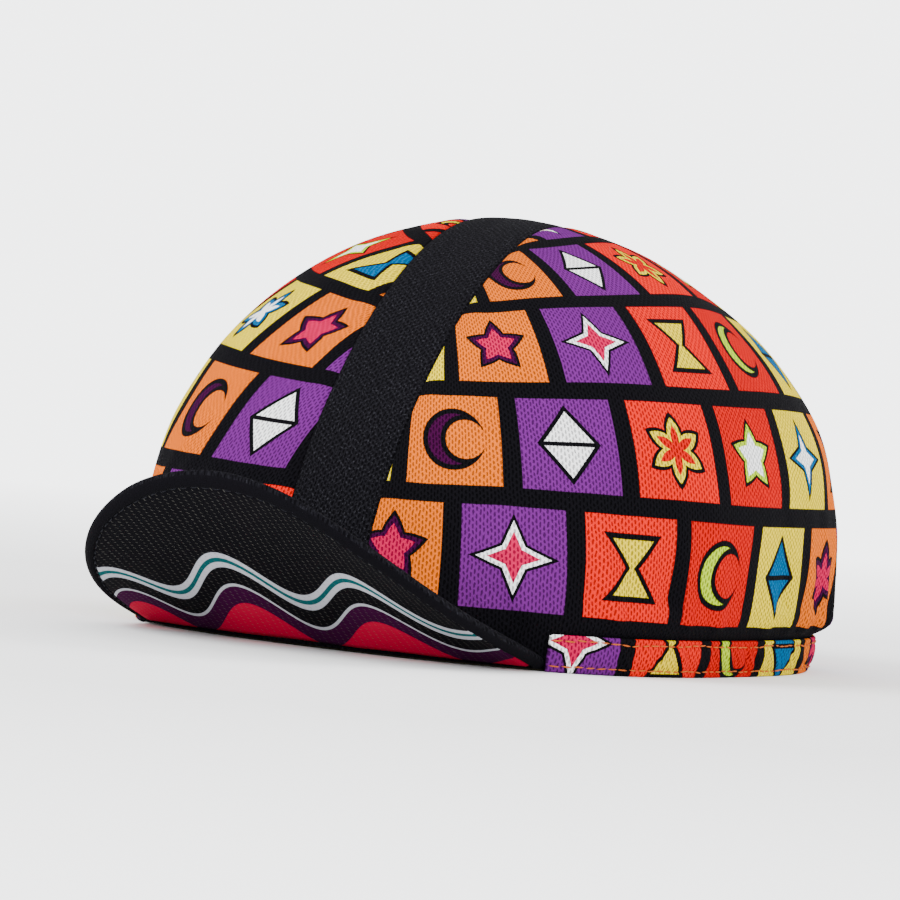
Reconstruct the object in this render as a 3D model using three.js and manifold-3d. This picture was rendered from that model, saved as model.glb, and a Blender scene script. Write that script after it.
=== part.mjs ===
// A cycling cap with its peak turned up, resting on its rim.
// Millimetres, +Z up. The peak points along -Y and the wearer's left is +X.

import * as THREE from 'three';
import { mergeVertices } from 'three/addons/utils/BufferGeometryUtils.js';
import Module from 'manifold-3d';

const wasm = await Module();
wasm.setup();

// The oval of the rim, on its outside
const rimHalfWidth = 78;
const rimFrontReach = 91.5;
const rimBackReach = 96;
const rimSquareness = 2.7;

// The crown over it
const crownHeight = 112;
const crownWall = 1.2;
const crownLean = 2;
const crownSteepness = 1.04;

// How the crown swells and closes towards each side: a swell over the rim as a share of the
// reach there, and a closing power, where a low one gives full cloth and a high one a slope
const crownProfiles = {
  front: { swell: -0.03, closing: 1.34 },
  side: { swell: 0.186, closing: 0.83 },
  back: { swell: 0.186, closing: 1.14 },
};

// The black strip from the front seam over the top to the back
const stripWidth = 25;

// The hem band sewn round the outside of the rim, drawn in by its elastic
const hemHeight = 9.5;
const hemWall = 1.3;
const hemFlare = 1.5;

// The bands sewn in along the rim, one for the brow and sides and one at the back
const sweatbandHeight = 16;
const sweatbandWall = 1.4;
const elasticHeight = 15.5;
const elasticWall = 1.1;
const elasticSpan = 32;

// The peak, a stiff sheet turned up in front of the crown
const peakLength = 65;
const peakCornerLength = 4;
const peakSquareness = 2.1;
const peakThickness = 2.8;
const peakEdgeRound = 0.8;
const peakHalfAngle = THREE.MathUtils.degToRad(38.5);
const peakLift = THREE.MathUtils.degToRad(36);
const peakCornerLift = THREE.MathUtils.degToRad(14);
const peakSeamHeight = 0.8;
const peakSeamArch = 0.8;

// Clearances between sewn pieces, and of the crown cloth over the resting surface
const clearance = 0.3;
const rimRise = 0.6;

// Fineness of the cloth surfaces
const columns = 72;
const crownRows = 12;
const peakColumns = 28;
const peakRows = 6;

// The crown cloth puffs out from just above the hem band, in a round shoulder of this height
const shoulderRise = 6;
const shoulderStart = hemHeight + clearance;

// How far out of its tuck the cloth is at a height: a quarter circle, from 0 to 1
function shoulder(height) {
  const share = THREE.MathUtils.clamp((height - shoulderStart) / shoulderRise, 0, 1);
  return Math.sqrt(share * (2 - share));
}

// The rim oval at an angle from the front, positive towards the wearer's left
function rimOval(angle) {
  const reach = Math.cos(angle) > 0 ? rimFrontReach : rimBackReach;
  const across = Math.abs(Math.sin(angle) / rimHalfWidth) ** rimSquareness;
  const along = Math.abs(Math.cos(angle) / reach) ** rimSquareness;
  const radius = (across + along) ** (-1 / rimSquareness);
  return new THREE.Vector2(radius * Math.sin(angle), -radius * Math.cos(angle));
}

function rimNormal(angle) {
  const step = 0.002;
  const along = rimOval(angle + step).sub(rimOval(angle - step));
  return new THREE.Vector2(along.y, -along.x).normalize();
}

// A point of the rim oval moved inwards, square to the oval
function rimInset(angle, inset) {
  return rimOval(angle).addScaledVector(rimNormal(angle), -inset);
}

// The crown's swell and closing power at an angle, blended from front or back to side
function crownProfile(angle) {
  const end = Math.cos(angle) > 0 ? crownProfiles.front : crownProfiles.back;
  const share = Math.cos(angle) ** 2;
  return {
    swell: THREE.MathUtils.lerp(crownProfiles.side.swell, end.swell, share),
    closing: THREE.MathUtils.lerp(crownProfiles.side.closing, end.closing, share),
  };
}

// How far the cloth behind the hem band lies inside the rim oval at a height
const tuckInset = (height) => hemWall + clearance - hemFlare * Math.min(height / hemHeight, 1);

// The outside of the crown: rise is 0 at the rim and a quarter turn at the top
function crownPoint(angle, rise) {
  const { swell, closing } = crownProfile(angle);
  const height = crownHeight * Math.sin(rise) ** crownSteepness;
  const spread = Math.cos(rise) ** closing * (1 + swell * Math.sin(2 * rise));
  const free = rimOval(angle).multiplyScalar(spread);
  free.y += crownLean * (1 - Math.cos(rise));
  const tucked = rimInset(angle, tuckInset(height));
  const plan = tucked.lerp(free, shoulder(height));
  return new THREE.Vector3(plan.x, plan.y, height);
}

const riseAt = (height) => Math.asin((height / crownHeight) ** (1 / crownSteepness));

// The crown surface moved inwards by a depth, square to the cloth
function crownInside(angle, rise, depth) {
  const step = 0.002;
  const around = crownPoint(angle + step, rise).sub(crownPoint(angle - step, rise));
  const upwards = crownPoint(angle, rise + step).sub(crownPoint(angle, rise - step));
  const normal = around.cross(upwards).normalize();
  return crownPoint(angle, rise).addScaledVector(normal, -depth);
}

// Joins rings of equal length, each a closed loop of points, into one body with flat ends
function bodyOfRings(rings) {
  const corners = rings[0].length;
  const positions = rings.flat().flatMap((point) => [point.x, point.y, point.z]);
  const faces = [];
  const end = (rings.length - 1) * corners;
  for (let here = 0; here < end; here += corners) {
    const next = here + corners;
    for (let corner = 0; corner < corners; corner += 1) {
      const after = (corner + 1) % corners;
      faces.push(here + corner, here + after, next + after);
      faces.push(here + corner, next + after, next + corner);
    }
  }
  for (let corner = 1; corner < corners - 1; corner += 1) {
    faces.push(0, corner + 1, corner);
    faces.push(end, end + corner, end + corner + 1);
  }
  return closedGeometry(positions, faces);
}

// A geometry whose faces point out, whichever way round its points were listed
function closedGeometry(positions, faces) {
  let volume = 0;
  const vertex = (index) => new THREE.Vector3().fromArray(positions, index * 3);
  for (let face = 0; face < faces.length; face += 3) {
    const [first, second, third] = faces.slice(face, face + 3).map(vertex);
    volume += first.dot(second.cross(third));
  }
  const geometry = new THREE.BufferGeometry();
  geometry.setAttribute('position', new THREE.Float32BufferAttribute(positions, 3));
  geometry.setIndex(volume > 0 ? faces : faces.toReversed());
  return geometry;
}

// The whole crown as one shell, before it is cut into panels and strip
function crownShell() {
  const shares = [0, 0.08, 0.3, 0.6, 1];
  const shoulderHeights = shares.map((share) => shoulderStart + share * shoulderRise);
  const rises = [rimRise, hemHeight / 2, ...shoulderHeights].map(riseAt);
  const start = rises[rises.length - 1];
  for (let row = 1; row < crownRows; row += 1) {
    rises.push(THREE.MathUtils.lerp(start, Math.PI / 2, row / crownRows));
  }
  const positions = [];
  const faces = [];
  const angleOf = (column) => (2 * Math.PI * column) / columns;
  for (const depth of [0, crownWall]) {
    for (const rise of rises) {
      for (let column = 0; column < columns; column += 1) {
        const point = crownInside(angleOf(column), rise, depth);
        if (rise === rises[0]) point.z = rimRise;
        positions.push(point.x, point.y, point.z);
      }
    }
    positions.push(0, crownLean, crownHeight - depth);
  }
  const layer = rises.length * columns + 1;
  for (let column = 0; column < columns; column += 1) {
    const after = (column + 1) % columns;
    for (let row = 0; row < rises.length - 1; row += 1) {
      const [here, above] = [row * columns, (row + 1) * columns];
      faces.push(here + column, here + after, above + after);
      faces.push(here + column, above + after, above + column);
      faces.push(layer + here + column, layer + above + after, layer + here + after);
      faces.push(layer + here + column, layer + above + column, layer + above + after);
    }
    const top = (rises.length - 1) * columns;
    faces.push(top + column, top + after, layer - 1);
    faces.push(layer + top + column, layer + layer - 1, layer + top + after);
    faces.push(column, layer + column, layer + after);
    faces.push(column, layer + after, after);
  }
  return closedGeometry(positions, faces);
}

// Solids of the cutting library, from and to geometries
function toSolid(geometry) {
  geometry.deleteAttribute('normal');
  geometry.deleteAttribute('uv');
  const merged = mergeVertices(geometry);
  return new wasm.Manifold(new wasm.Mesh({
    numProp: 3,
    vertProperties: new Float32Array(merged.attributes.position.array),
    triVerts: new Uint32Array(merged.index.array),
  }));
}

function toGeometry(solid) {
  const mesh = solid.getMesh();
  const geometry = new THREE.BufferGeometry();
  geometry.setAttribute('position', new THREE.BufferAttribute(mesh.vertProperties, 3));
  geometry.setIndex(new THREE.BufferAttribute(mesh.triVerts, 1));
  return geometry;
}

// A block that takes in everything between two values of X
function slice(fromX, toX) {
  const depth = 3 * (rimFrontReach + rimBackReach);
  const block = new THREE.BoxGeometry(toX - fromX, depth, 3 * crownHeight);
  block.translate((fromX + toX) / 2, 0, 0);
  return toSolid(block);
}

// A band along the rim between two angles, with its section given by angle as
// a loop of { inset, height } points
function rimBand(fromAngle, toAngle, section) {
  const steps = Math.max(2, Math.ceil(((toAngle - fromAngle) / (2 * Math.PI)) * columns));
  const rings = [];
  for (let step = 0; step <= steps; step += 1) {
    const angle = THREE.MathUtils.lerp(fromAngle, toAngle, step / steps);
    rings.push(section(angle).map(({ inset, height }) => {
      const plan = rimInset(angle, inset);
      return new THREE.Vector3(plan.x, plan.y, height);
    }));
  }
  return bodyOfRings(rings);
}

function hemSection() {
  const bulge = hemFlare * 0.75;
  return [
    { inset: 0, height: 0 },
    { inset: -bulge, height: hemHeight / 2 },
    { inset: -hemFlare, height: hemHeight },
    { inset: hemWall - hemFlare, height: hemHeight },
    { inset: hemWall - hemFlare / 2, height: hemHeight / 2 },
    { inset: hemWall, height: 0 },
  ];
}

// A band inside the crown leans with the cloth where that slopes inwards
function innerBandSection(bandHeight, wall) {
  return (angle) => {
    const foot = tuckInset(0) + crownWall + clearance;
    const cloth = crownInside(angle, riseAt(bandHeight), crownWall + clearance);
    const plan = new THREE.Vector2(cloth.x, cloth.y);
    const slope = rimOval(angle).sub(plan).dot(rimNormal(angle));
    const top = Math.max(foot, slope);
    return [
      { inset: foot, height: 0 },
      { inset: top, height: bandHeight },
      { inset: top + wall, height: bandHeight },
      { inset: foot + wall, height: 0 },
    ];
  };
}

// The peak: straight lines run forwards and up from the seam, longest in the middle
function peakGeometry() {
  const rings = [];
  for (let column = 0; column <= peakColumns; column += 1) {
    const turn = -Math.PI / 2 + (Math.PI * column) / peakColumns;
    const across = Math.sin(turn);
    const angle = across * peakHalfAngle;
    const lift = THREE.MathUtils.lerp(peakLift, peakCornerLift, across * across);
    const fullness = (1 - Math.abs(across) ** peakSquareness) ** (1 / peakSquareness);
    const length = THREE.MathUtils.lerp(peakCornerLength, peakLength, fullness);
    const normal = rimNormal(angle);
    const sideSlope = (Math.tan(lift) * normal.x) / normal.y;
    const thickness = peakThickness * Math.hypot(1, Math.tan(lift), sideSlope);
    const foot = peakSeamHeight + peakSeamArch * Math.cos(turn) ** 2;
    const seam = rimInset(angle, tuckInset(foot + thickness) - clearance);
    const point = (run, height) => new THREE.Vector3(
      seam.x,
      seam.y - run * Math.cos(lift),
      foot + run * Math.sin(lift) + height,
    );
    const under = [];
    const over = [];
    for (let row = 0; row <= peakRows; row += 1) {
      const run = ((length - peakEdgeRound) * row) / peakRows;
      under.push(point(run, 0));
      over.push(point(run, thickness));
    }
    rings.push([...under, point(length, thickness / 2), ...over.toReversed()]);
  }
  return bodyOfRings(rings);
}

function sewnPiece(name, geometry, color, roughness) {
  const material = new THREE.MeshStandardMaterial({ color, roughness, metalness: 0 });
  const mesh = new THREE.Mesh(geometry, material);
  mesh.name = name;
  return mesh;
}

const printRed = 0xec4a34;
const meshBlack = 0x0e0d12;
const peakBlack = 0x08080a;
const hemOrange = 0xf09146;
const bandOlive = 0x2e2a21;
const elasticBrown = 0x36312a;

const crown = toSolid(crownShell());
const reach = 2 * rimHalfWidth;
const seamSide = (stripWidth + clearance) / 2;
const stripSide = (stripWidth - clearance) / 2;
const leftPanel = crown.intersect(slice(seamSide, reach));
const rightPanel = crown.intersect(slice(-reach, -seamSide));
const strip = crown.intersect(slice(-stripSide, stripSide));

const peakEnd = peakHalfAngle + clearance / rimHalfWidth;
const hem = rimBand(peakEnd, 2 * Math.PI - peakEnd, hemSection);

const elasticHalfAngle = Math.asin(elasticSpan / 2 / rimBackReach);
const bandJoint = clearance / rimBackReach;
const sweatband = rimBand(
  -Math.PI + elasticHalfAngle + bandJoint,
  Math.PI - elasticHalfAngle - bandJoint,
  innerBandSection(sweatbandHeight, sweatbandWall),
);
const elastic = rimBand(
  Math.PI - elasticHalfAngle,
  Math.PI + elasticHalfAngle,
  innerBandSection(elasticHeight, elasticWall),
);

const cap = new THREE.Group();
cap.add(
  sewnPiece('side_panel_left', toGeometry(leftPanel), printRed, 0.85),
  sewnPiece('side_panel_right', toGeometry(rightPanel), printRed, 0.85),
  sewnPiece('centre_strip', toGeometry(strip), meshBlack, 0.8),
  sewnPiece('peak', peakGeometry(), peakBlack, 0.8),
  sewnPiece('hem_band', hem, hemOrange, 0.85),
  sewnPiece('sweatband', sweatband, bandOlive, 0.95),
  sewnPiece('back_elastic', elastic, elasticBrown, 0.75),
);

// The origin is the middle of the whole cap, on the surface that it rests on
const extent = new THREE.Box3().setFromObject(cap);
const middle = extent.getCenter(new THREE.Vector3());
cap.position.set(-middle.x, -middle.y, -extent.min.z);

export default cap;
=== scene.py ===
"""A cycling cap with its peak turned up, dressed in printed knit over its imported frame."""

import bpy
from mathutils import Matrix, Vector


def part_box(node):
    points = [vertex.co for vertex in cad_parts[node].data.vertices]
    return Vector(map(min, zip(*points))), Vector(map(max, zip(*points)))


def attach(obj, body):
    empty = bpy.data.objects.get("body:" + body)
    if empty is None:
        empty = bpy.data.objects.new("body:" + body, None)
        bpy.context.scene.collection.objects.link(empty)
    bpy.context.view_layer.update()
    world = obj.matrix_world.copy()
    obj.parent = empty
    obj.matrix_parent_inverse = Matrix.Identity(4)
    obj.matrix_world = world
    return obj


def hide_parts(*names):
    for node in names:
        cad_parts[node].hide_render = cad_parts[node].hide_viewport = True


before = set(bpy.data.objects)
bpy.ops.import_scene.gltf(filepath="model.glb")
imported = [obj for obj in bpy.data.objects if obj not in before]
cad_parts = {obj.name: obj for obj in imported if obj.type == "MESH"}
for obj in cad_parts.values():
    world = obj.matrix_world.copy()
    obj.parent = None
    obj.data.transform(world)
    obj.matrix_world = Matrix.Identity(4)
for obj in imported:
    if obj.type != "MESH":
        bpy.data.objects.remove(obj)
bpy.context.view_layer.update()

import logging
import math
from dataclasses import dataclass, field
from enum import Enum
from typing import Sequence, TypeAlias

import bpy
import numpy as np
from mathutils import Matrix, Vector

log = logging.getLogger("cycling_cap")

# Lengths are in millimetres until a mesh is written.
MM = 0.001
BODY = "root"
TINY = 1e-9

Array: TypeAlias = np.ndarray
Colour: TypeAlias = tuple[float, float, float]
Material: TypeAlias = bpy.types.Material
Number: TypeAlias = "float | Value"
Paint: TypeAlias = "Colour | Value"
Piece: TypeAlias = bpy.types.Object


class Side(Enum):
    """The wearer's side of a piece, as the sign of X."""

    LEFT = 1
    RIGHT = -1


class Skin(Enum):
    """The material slot of a face: the side that shows or the side towards the head."""

    FACE = 0
    REVERSE = 1


class Detail(Enum):
    """How many finer layers a noise has."""

    COARSE = 1.0
    MIDDLE = 2.0
    FINE = 3.0


class Value:
    """A number or colour that flows through a node tree, with Python's operators."""

    # A number counts as a whole one when it is this near to it.
    NEAR = 0.4

    def __init__(self, nodes: "Nodes", socket: bpy.types.NodeSocket) -> None:
        """Wraps a socket of a node tree."""
        self.nodes = nodes
        self.socket = socket

    def math(self, operation: str, *others: Number) -> "Value":
        """Adds a Math node on this number and up to two others."""
        return self.nodes.math(operation, self, *others)

    def __add__(self, other: Number) -> "Value":
        """Adds."""
        return self.math("ADD", other)

    def __radd__(self, other: Number) -> "Value":
        """Adds, reflected."""
        return self.math("ADD", other)

    def __sub__(self, other: Number) -> "Value":
        """Subtracts."""
        return self.math("SUBTRACT", other)

    def __rsub__(self, other: Number) -> "Value":
        """Subtracts, reflected."""
        return self.nodes.math("SUBTRACT", other, self)

    def __mul__(self, other: Number) -> "Value":
        """Multiplies."""
        return self.math("MULTIPLY", other)

    def __rmul__(self, other: Number) -> "Value":
        """Multiplies, reflected."""
        return self.math("MULTIPLY", other)

    def __truediv__(self, other: Number) -> "Value":
        """Divides."""
        return self.math("DIVIDE", other)

    def __mod__(self, other: Number) -> "Value":
        """Gives the remainder, never negative."""
        return self.math("FLOORED_MODULO", other)

    def __abs__(self) -> "Value":
        """Drops the sign."""
        return self.math("ABSOLUTE")

    def floor(self) -> "Value":
        """Rounds down."""
        return self.math("FLOOR")

    def clamp(self) -> "Value":
        """Keeps the number between 0 and 1."""
        return self.most(0.0).least(1.0)

    def least(self, other: Number) -> "Value":
        """Takes the lesser of two numbers."""
        return self.math("MINIMUM", other)

    def most(self, other: Number) -> "Value":
        """Takes the greater of two numbers."""
        return self.math("MAXIMUM", other)

    def equals(self, whole: float) -> "Value":
        """Gives 1 where a whole number is met, and 0 elsewhere."""
        return self.math("COMPARE", whole, self.NEAR)

    def below(self, edge: Number, softness: float) -> "Value":
        """Gives 1 below an edge and 0 above it, with a soft step between."""
        return ((edge - self) / softness + 0.5).clamp()

    def wave(self, pitch: float) -> "Value":
        """Rises and falls evenly between 0 and 1, once in each pitch."""
        return abs((self / pitch) % 1.0 - 0.5) * 2.0


@dataclass(frozen=True)
class Lustre:
    """How a cloth takes the light: its relief's depth in millimetres, its fuzz and its gloss."""

    depth: float
    sheen: float
    gloss: float = 0.02
    sheen_roughness: float = 0.5


class Nodes:
    """The node tree of a material or a world, with one method for each kind of expression."""

    def __init__(self, name: str, world: bool = False) -> None:
        """Starts with an empty tree.

        Args:
            name: The name of the material or world.
            world: Whether it is a world.
        """
        self.owner = (bpy.data.worlds if world else bpy.data.materials).new(name)
        self.owner.use_nodes = True
        self.tree = self.owner.node_tree
        self.tree.nodes.clear()

    def make(self, kind: str, settings: dict | None = None, inputs: dict | None = None) -> bpy.types.Node:
        """Adds a node.

        Args:
            kind: The node's type.
            settings: Its own settings, set first. A ramp's stops are under "stops".
            inputs: Values or links of its sockets, by name or number.

        Returns:
            The node.
        """
        node = self.tree.nodes.new(kind)
        for key, setting in (settings or {}).items():
            if key == "stops":
                self.set_steps(node.color_ramp, setting)
            else:
                setattr(node, key, setting)
        for key, value in (inputs or {}).items():
            socket = node.inputs[key]
            if isinstance(value, Value):
                self.tree.links.new(value.socket, socket)
            elif isinstance(value, tuple) and len(value) == 3 and socket.type == "RGBA":
                socket.default_value = (*value, 1.0)
            else:
                socket.default_value = value
        return node

    def value(
        self, kind: str, settings: dict | None = None, inputs: dict | None = None, output: int | str = 0
    ) -> Value:
        """Adds a node as make does, and gives one of its outputs, by name or number."""
        return Value(self, self.make(kind, settings, inputs).outputs[output])

    @staticmethod
    def set_steps(colours: bpy.types.ColorRamp, stops: Sequence[tuple[float, Colour]]) -> None:
        """Makes a colour ramp step from colour to colour.

        Args:
            colours: The ramp.
            stops: The place at which each colour starts, and the colour, in order.
        """
        while len(colours.elements) < len(stops):
            colours.elements.new(1.0)
        for element, (place, colour) in zip(colours.elements, stops):
            element.position = place
            element.color = (*colour, 1.0)
        colours.interpolation = "CONSTANT"

    def math(self, operation: str, *numbers: Number) -> Value:
        """Adds a Math node on up to three numbers."""
        return self.value("ShaderNodeMath", {"operation": operation}, dict(enumerate(numbers)))

    def mix(self, factor: Number, first: Paint, second: Paint) -> Value:
        """Blends two colours, of which the factor is the second one's share."""
        settings = {"data_type": "RGBA", "clamp_factor": True}
        return self.value("ShaderNodeMix", settings, {0: factor, 6: first, 7: second}, 2)

    def shade(self, colour: Paint, level: Number) -> Value:
        """Multiplies a colour by a brightness."""
        return self.value("ShaderNodeVectorMath", {"operation": "SCALE"}, {0: colour, 3: level})

    def cloth(self) -> tuple[Value, Value, Value]:
        """Reads a place's measures on the flat cloth.

        Returns:
            Millimetres along the cloth, up it, and a third measure of the piece's own.
        """
        place = self.value("ShaderNodeAttribute", {"attribute_name": "cloth"}, {}, "Vector")
        along, up, third = self.make("ShaderNodeSeparateXYZ", {}, {0: place}).outputs
        return Value(self, along), Value(self, up), Value(self, third)

    def noise(self, along: Number, up: Number, scale: float, detail: Detail = Detail.MIDDLE) -> Value:
        """Reads a noise of 0 to 1 on the cloth.

        Args:
            along: Where it is read along the cloth.
            up: Where it is read up the cloth.
            scale: Waves in each millimetre.
            detail: Its finer layers.

        Returns:
            The noise.
        """
        place = self.value("ShaderNodeCombineXYZ", {}, {0: along, 1: up})
        inputs = {"Vector": place, "Scale": scale, "Detail": detail.value}
        return self.value("ShaderNodeTexNoise", {}, inputs)

    def finish(self, colour: Paint, height: Value, roughness: Number, lustre: Lustre) -> Material:
        """Ends the tree in a cloth shader.

        Args:
            colour: Base colour.
            height: Relief, from 0 to 1.
            roughness: Roughness.
            lustre: How the cloth takes the light.

        Returns:
            The finished material.
        """
        relief = {"Height": height, "Strength": 1.0, "Distance": lustre.depth * MM}
        inputs = {
            "Base Color": colour,
            "Roughness": roughness,
            "Specular IOR Level": lustre.gloss,
            "Sheen Weight": lustre.sheen,
            "Sheen Roughness": lustre.sheen_roughness,
            "Normal": self.value("ShaderNodeBump", {}, relief),
        }
        shader = self.value("ShaderNodeBsdfPrincipled", {}, inputs)
        self.make("ShaderNodeOutputMaterial", {}, {"Surface": shader})
        return self.owner


@dataclass(frozen=True)
class EyeletKnit:
    """A knit with staggered columns of small eyelets over fine upright ribs."""

    column_pitch: float = 0.93
    row_pitch: float = 1.75
    eyelet_width: float = 0.29
    eyelet_height: float = 0.4
    eyelet_reach: float = 0.75
    eyelet_softness: float = 0.8
    eyelet_depth: float = 0.9
    raggedness: float = 1.6
    wander: float = 0.9
    wander_scale: float = 0.35
    fuzz_scale: float = 2.6
    fuzz_stretch: float = 0.6
    rib_slope: float = 0.28
    rib_share: float = 0.4

    def relief(self, nodes: Nodes, along: Value, up: Value) -> tuple[Value, Value]:
        """Works out the knit's relief.

        Args:
            nodes: The material.
            along: Millimetres across the columns.
            up: Millimetres along the columns.

        Returns:
            The height from 0 to 1, and a mask of the eyelets.
        """
        wander = nodes.noise(along, up, self.wander_scale, Detail.COARSE) * self.wander
        across = along / self.column_pitch + wander
        column = across.floor()
        rows = up / self.row_pitch + (column % 2.0) * 0.5 + wander
        wide = (across - column - 0.5) / self.eyelet_width
        tall = (rows - rows.floor() - 0.5) / self.eyelet_height
        fuzz = nodes.noise(along, up * self.fuzz_stretch, self.fuzz_scale, Detail.FINE)
        reach = wide * wide + tall * tall + (fuzz - 0.5) * self.raggedness
        eyelet = reach.below(self.eyelet_reach, self.eyelet_softness)
        rib = 1.0 - (abs(wide) * self.rib_slope).least(1.0)
        height = rib * self.rib_share + fuzz * (1 - self.rib_share)
        return height * (1.0 - eyelet * self.eyelet_depth), eyelet


@dataclass(frozen=True)
class SlantedWeave:
    """The fine slanted weave of the peak cloth, with small pale flecks."""

    slant: float = 0.9
    column_pitch: float = 1.2
    row_pitch: float = 2.1
    columns_in_step: float = 3.0
    fleck_narrowness: float = 34.0
    fleck_shortness: float = 22.0
    fleck_reach: float = 0.4
    fleck_softness: float = 0.4
    raggedness: float = 2.4
    fuzz_scale: float = 2.4
    fuzz_share: float = 0.7

    def relief(self, nodes: Nodes, along: Value, up: Value) -> tuple[Value, Value]:
        """Works out the weave's relief.

        Args:
            nodes: The material.
            along: Millimetres across the peak.
            up: Millimetres from its seam.

        Returns:
            The height from 0 to 1, and a mask of the flecks.
        """
        slanted = (along + up * self.slant) / self.column_pitch
        column = slanted.floor()
        wide = slanted - column - 0.5
        row = up / self.row_pitch + (column % self.columns_in_step) / self.columns_in_step
        tall = row - row.floor() - 0.5
        fuzz = nodes.noise(along, up, self.fuzz_scale, Detail.FINE)
        reach = wide * wide * self.fleck_narrowness + tall * tall * self.fleck_shortness
        fleck = (reach + (fuzz - 0.5) * self.raggedness).below(self.fleck_reach, self.fleck_softness)
        return fuzz * self.fuzz_share + (1.0 - fleck) * (1 - self.fuzz_share), fleck


@dataclass(frozen=True)
class Palette:
    """The print's inks, as linear colours."""

    red: Colour = (0.5, 0.001, 0.001)
    coral: Colour = (0.64, 0.005, 0.002)
    orange: Colour = (0.64, 0.12, 0.002)
    yellow: Colour = (0.68, 0.52, 0.003)
    purple: Colour = (0.11, 0.011, 0.148)
    black: Colour = (0.0036, 0.0033, 0.0045)
    white: Colour = (0.9, 0.9, 0.9)
    plum: Colour = (0.034, 0.001, 0.027)
    pink: Colour = (0.46, 0.002, 0.055)
    lime: Colour = (0.38, 0.56, 0.003)
    teal: Colour = (0.001, 0.075, 0.08)
    blue: Colour = (0.001, 0.09, 0.23)
    crimson: Colour = (0.46, 0.002, 0.035)
    grey: Colour = (0.42, 0.43, 0.47)


PALETTE = Palette()
BLACK_CLOTH = Lustre(depth=0.36, sheen=0.004, gloss=0.012)


@dataclass(frozen=True)
class Figures:
    """Six plain figures, each given by how far a place lies outside it.

    The numbers of each figure are counts, slopes or shares of the figures' size.
    """

    size: float = 8.2
    star_points: float = 5.0
    star_size: float = 1.15
    star_dent: float = 1.7
    sparkle_arm: float = 0.8
    sparkle_waist: float = 1.9
    hourglass_slope: float = 0.75
    hourglass_neck: float = 0.16
    hourglass_height: float = 0.95
    crescent_shift: float = 0.42
    crescent_hollow: float = 0.78
    lozenge_across: float = 1.05
    lozenge_up: float = 0.8
    lozenge_split: float = 0.1
    petals: float = 6.0
    petal_start: float = 0.62
    petal_length: float = 1.1
    plain_depth: float = 0.3

    def measures(self, across: Value, up: Value) -> list[Value]:
        """Measures how far a place lies outside each figure, in millimetres.

        Args:
            across: Millimetres from the tile's middle.
            up: Millimetres above it.

        Returns:
            A measure for each figure: a star, a star of four points, an hourglass, a crescent,
            a split lozenge and a wheel of petals. The third and fifth are of one ink all through.
        """
        size = self.size
        plain = -self.plain_depth * size
        away = (across * across + up * up).math("SQRT")
        turn = across.math("ARCTAN2", up) / math.tau
        point = abs((turn * self.star_points + 0.5) % 1.0 - 0.5)
        star = away * (1.0 + point * self.star_dent) - size * self.star_size
        aside, above = abs(across), abs(up)
        sparkle = aside.most(above) * self.sparkle_arm + aside.least(above) * self.sparkle_waist - size
        sides = aside - above * self.hourglass_slope - size * self.hourglass_neck
        hourglass = sides.most(above - size * self.hourglass_height).most(plain)
        shifted = across - size * self.crescent_shift
        hollow = size * self.crescent_hollow - (shifted * shifted + up * up).math("SQRT")
        crescent = (away - size).most(hollow)
        edges = aside * self.lozenge_across + above * self.lozenge_up - size
        lozenge = edges.most(-self.lozenge_split - above).most(plain)
        petal = abs((turn * self.petals) % 1.0 - 0.5)
        wheel = away - size * (self.petal_start + petal * self.petal_length)
        return [star, sparkle, hourglass, crescent, lozenge, wheel]


@dataclass(frozen=True)
class TileInks:
    """The inks of one kind of tile: its ground, its figure and the figure's heart."""

    ground: Colour
    fill: Colour
    heart: Colour


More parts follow.
